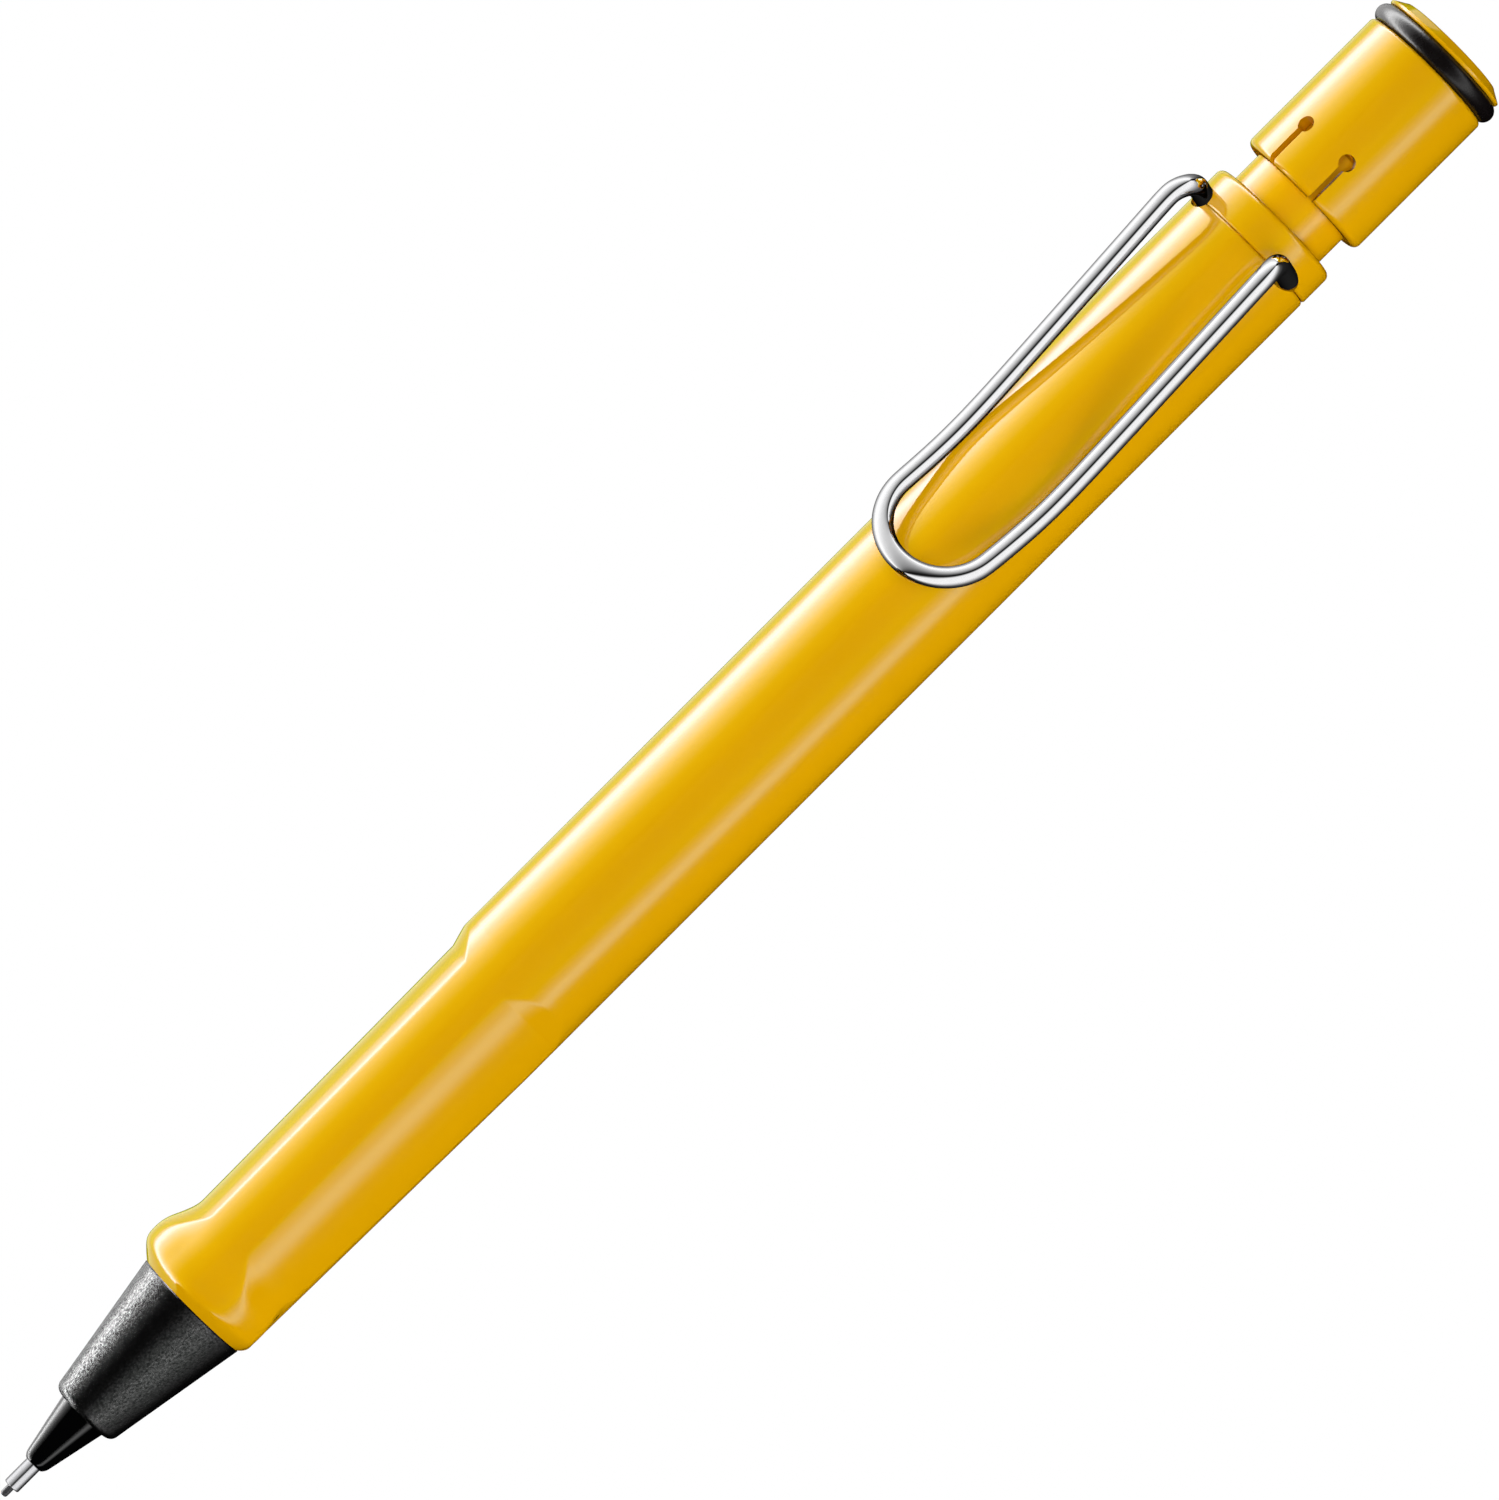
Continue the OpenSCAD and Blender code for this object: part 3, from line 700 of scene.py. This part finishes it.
MATTE_LOW_STOPS = [(-16, 0.0), (-4, 0.08), (11, 0.5), (28, 1.2), (46, 1.9), (65, 1.4), (86, 0.6), (112, 0.15),
                   (125, 0.0)]
TIP_KEY_STOPS = [(-58, 0.0), (-67, 0.4), (-74, 0.7), (-81, 1.4), (-90, 2.3), (-99, 4.2), (-108, 7.5), (-115, 9.0),
                 (-121, 7.5), (-134, 1.6), (-150, 1.2), (-165, 1.0)]
TIP_LOW_STOPS = [(38, 0.0), (46, 0.7), (53.5, 1.8), (60, 1.8), (66, 0.8), (74, 0.0)]
DARK_KEY_STOPS = [(-47, 0.0), (-52, 0.13), (-60, 0.5), (-67, 1.0), (-74, 1.85), (-81, 3.5), (-90, 6.2), (-99, 10.5),
                  (-108, 13.0), (-115, 9.0), (-121, 4.8), (-134, 1.6), (-150, 1.2), (-165, 1.0)]
DARK_LOW_STOPS = [(30, 0.0), (41, 0.4), (47, 0.85), (53.5, 1.5), (62, 1.3), (70, 0.65), (84, 0.0)]

strip("yellow_key", YELLOW_KEY_STOPS, pieces(YELLOW_PIECES), 0.34, 0.9, (1, 0.93, 1))
strip("yellow_warm", WARM_STOPS, pieces(YELLOW_PIECES), 0.33, 0.9, (0.95, 1, 0.03))
strip("yellow_rim", RIM_STOPS, pieces(YELLOW_PIECES), 0.33, 0.9, (0.55, 1, 0.03))
strip("yellow_low", LOW_STOPS, pieces(YELLOW_PIECES), 0.34, 0.9, (0.62, 1.05, 1))
strip("yellow_soft_low", SOFT_LOW_STOPS, pieces(YELLOW_PIECES), 0.33, 0.9, (0.6, 1, 0.05))
# The barrel, collar and seat are left out of mirror reflections, so that the clip shows only the studio
for piece in pieces(("barrel_shell", "collar_bush", "seat_cup")):
    piece.visible_glossy = False
strip("matte_key", KEY_STOPS, pieces(MATTE_PIECES), 0.38)
strip("matte_low", MATTE_LOW_STOPS, pieces(MATTE_PIECES), 0.38)
strip("tip_key", TIP_KEY_STOPS, pieces(TIP_PIECES), 0.37)
strip("tip_low", TIP_LOW_STOPS, pieces(TIP_PIECES), 0.37)
strip("dark_key", DARK_KEY_STOPS, pieces(DARK_PIECES), 0.36)
strip("dark_low", DARK_LOW_STOPS, pieces(DARK_PIECES), 0.36)
strip("mirror_surround",
      [(-180, 0.0), (-140, 0.3), (-118, 0.75), (-97, 1.2), (-79, 1.15), (-66, 1.0), (-54, 0.82), (-42, 0.67), (-32, 0.5),
       (-20, 0.32), (-8, 0.07), (-1, 0.0), (7, 0.03), (12, 0.5), (19, 0.98), (34, 1.0), (56, 1.02), (68, 0.9),
       (80, 0.64), (94, 0.33), (108, 0.1), (131, 0.02), (180, 0.0)], pieces(MIRROR_PIECES), 0.4, 3.0)
strip("inner_surround", [(-180, 0.5), (-120, 0.8), (-60, 0.9), (0, 0.4), (60, 0.8), (120, 0.7), (180, 0.5)],
      [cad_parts[name] for name in INNER_METALS], 0.43, 3.0)


def area(name, angle_deg, power, size, distance=0.5, arm=None):
    """A soft light at an angle round the pencil, or along the direction arm."""
    data = bpy.data.lights.new(name, "AREA")
    data.shape = "RECTANGLE"
    data.size, data.size_y = 0.5, size
    data.energy = power
    obj = bpy.data.objects.new(name, data)
    bpy.context.scene.collection.objects.link(obj)
    a = math.radians(angle_deg)
    across = ACROSS if arm else ALONG
    arm = arm or math.cos(a) * TOWARD + math.sin(a) * ACROSS
    obj.location = at(0, 0, CAM_LOOK_S) + arm * distance
    obj.rotation_mode = "QUATERNION"
    obj.rotation_quaternion = Matrix((across, arm.cross(across), arm)).transposed().to_quaternion()
    obj.visible_glossy = False
    obj.visible_camera = False
    return obj


area("fill_front", 0, 1.45, 0.4)
area("fill_key", -70, 2.4, 0.3)
area("fill_low", 70, 2.2, 0.3)
area("fill_back", 180, 1.0, 0.4)
area("fill_rear", 0, 14.0, 0.3, 2.0, ALONG)
area("fill_fore", 0, 14.0, 0.3, 2.0, -ALONG)

# A soft light that reaches the button seat through the thin skirt, so that the keyholes aren't black
seat_light = area("fill_seat", -40, 3.4, 0.4)
for link, members in (("receiver_collection", pieces(("seat_cup",))), ("blocker_collection", (floor,))):
    group = bpy.data.collections.new("seat_" + link)
    for member in members:
        group.objects.link(member)
    setattr(seat_light.light_linking, link, group)

world = bpy.data.worlds.new("studio")
bpy.context.scene.world = world
world.use_nodes = True
world.node_tree.nodes["Background"].inputs["Color"].default_value = (1, 1, 1, 1)
world.node_tree.nodes["Background"].inputs["Strength"].default_value = 0.12
world.cycles_visibility.glossy = False

bpy.context.scene.view_settings.view_transform = "Standard"
bpy.context.scene.view_settings.look = "None"
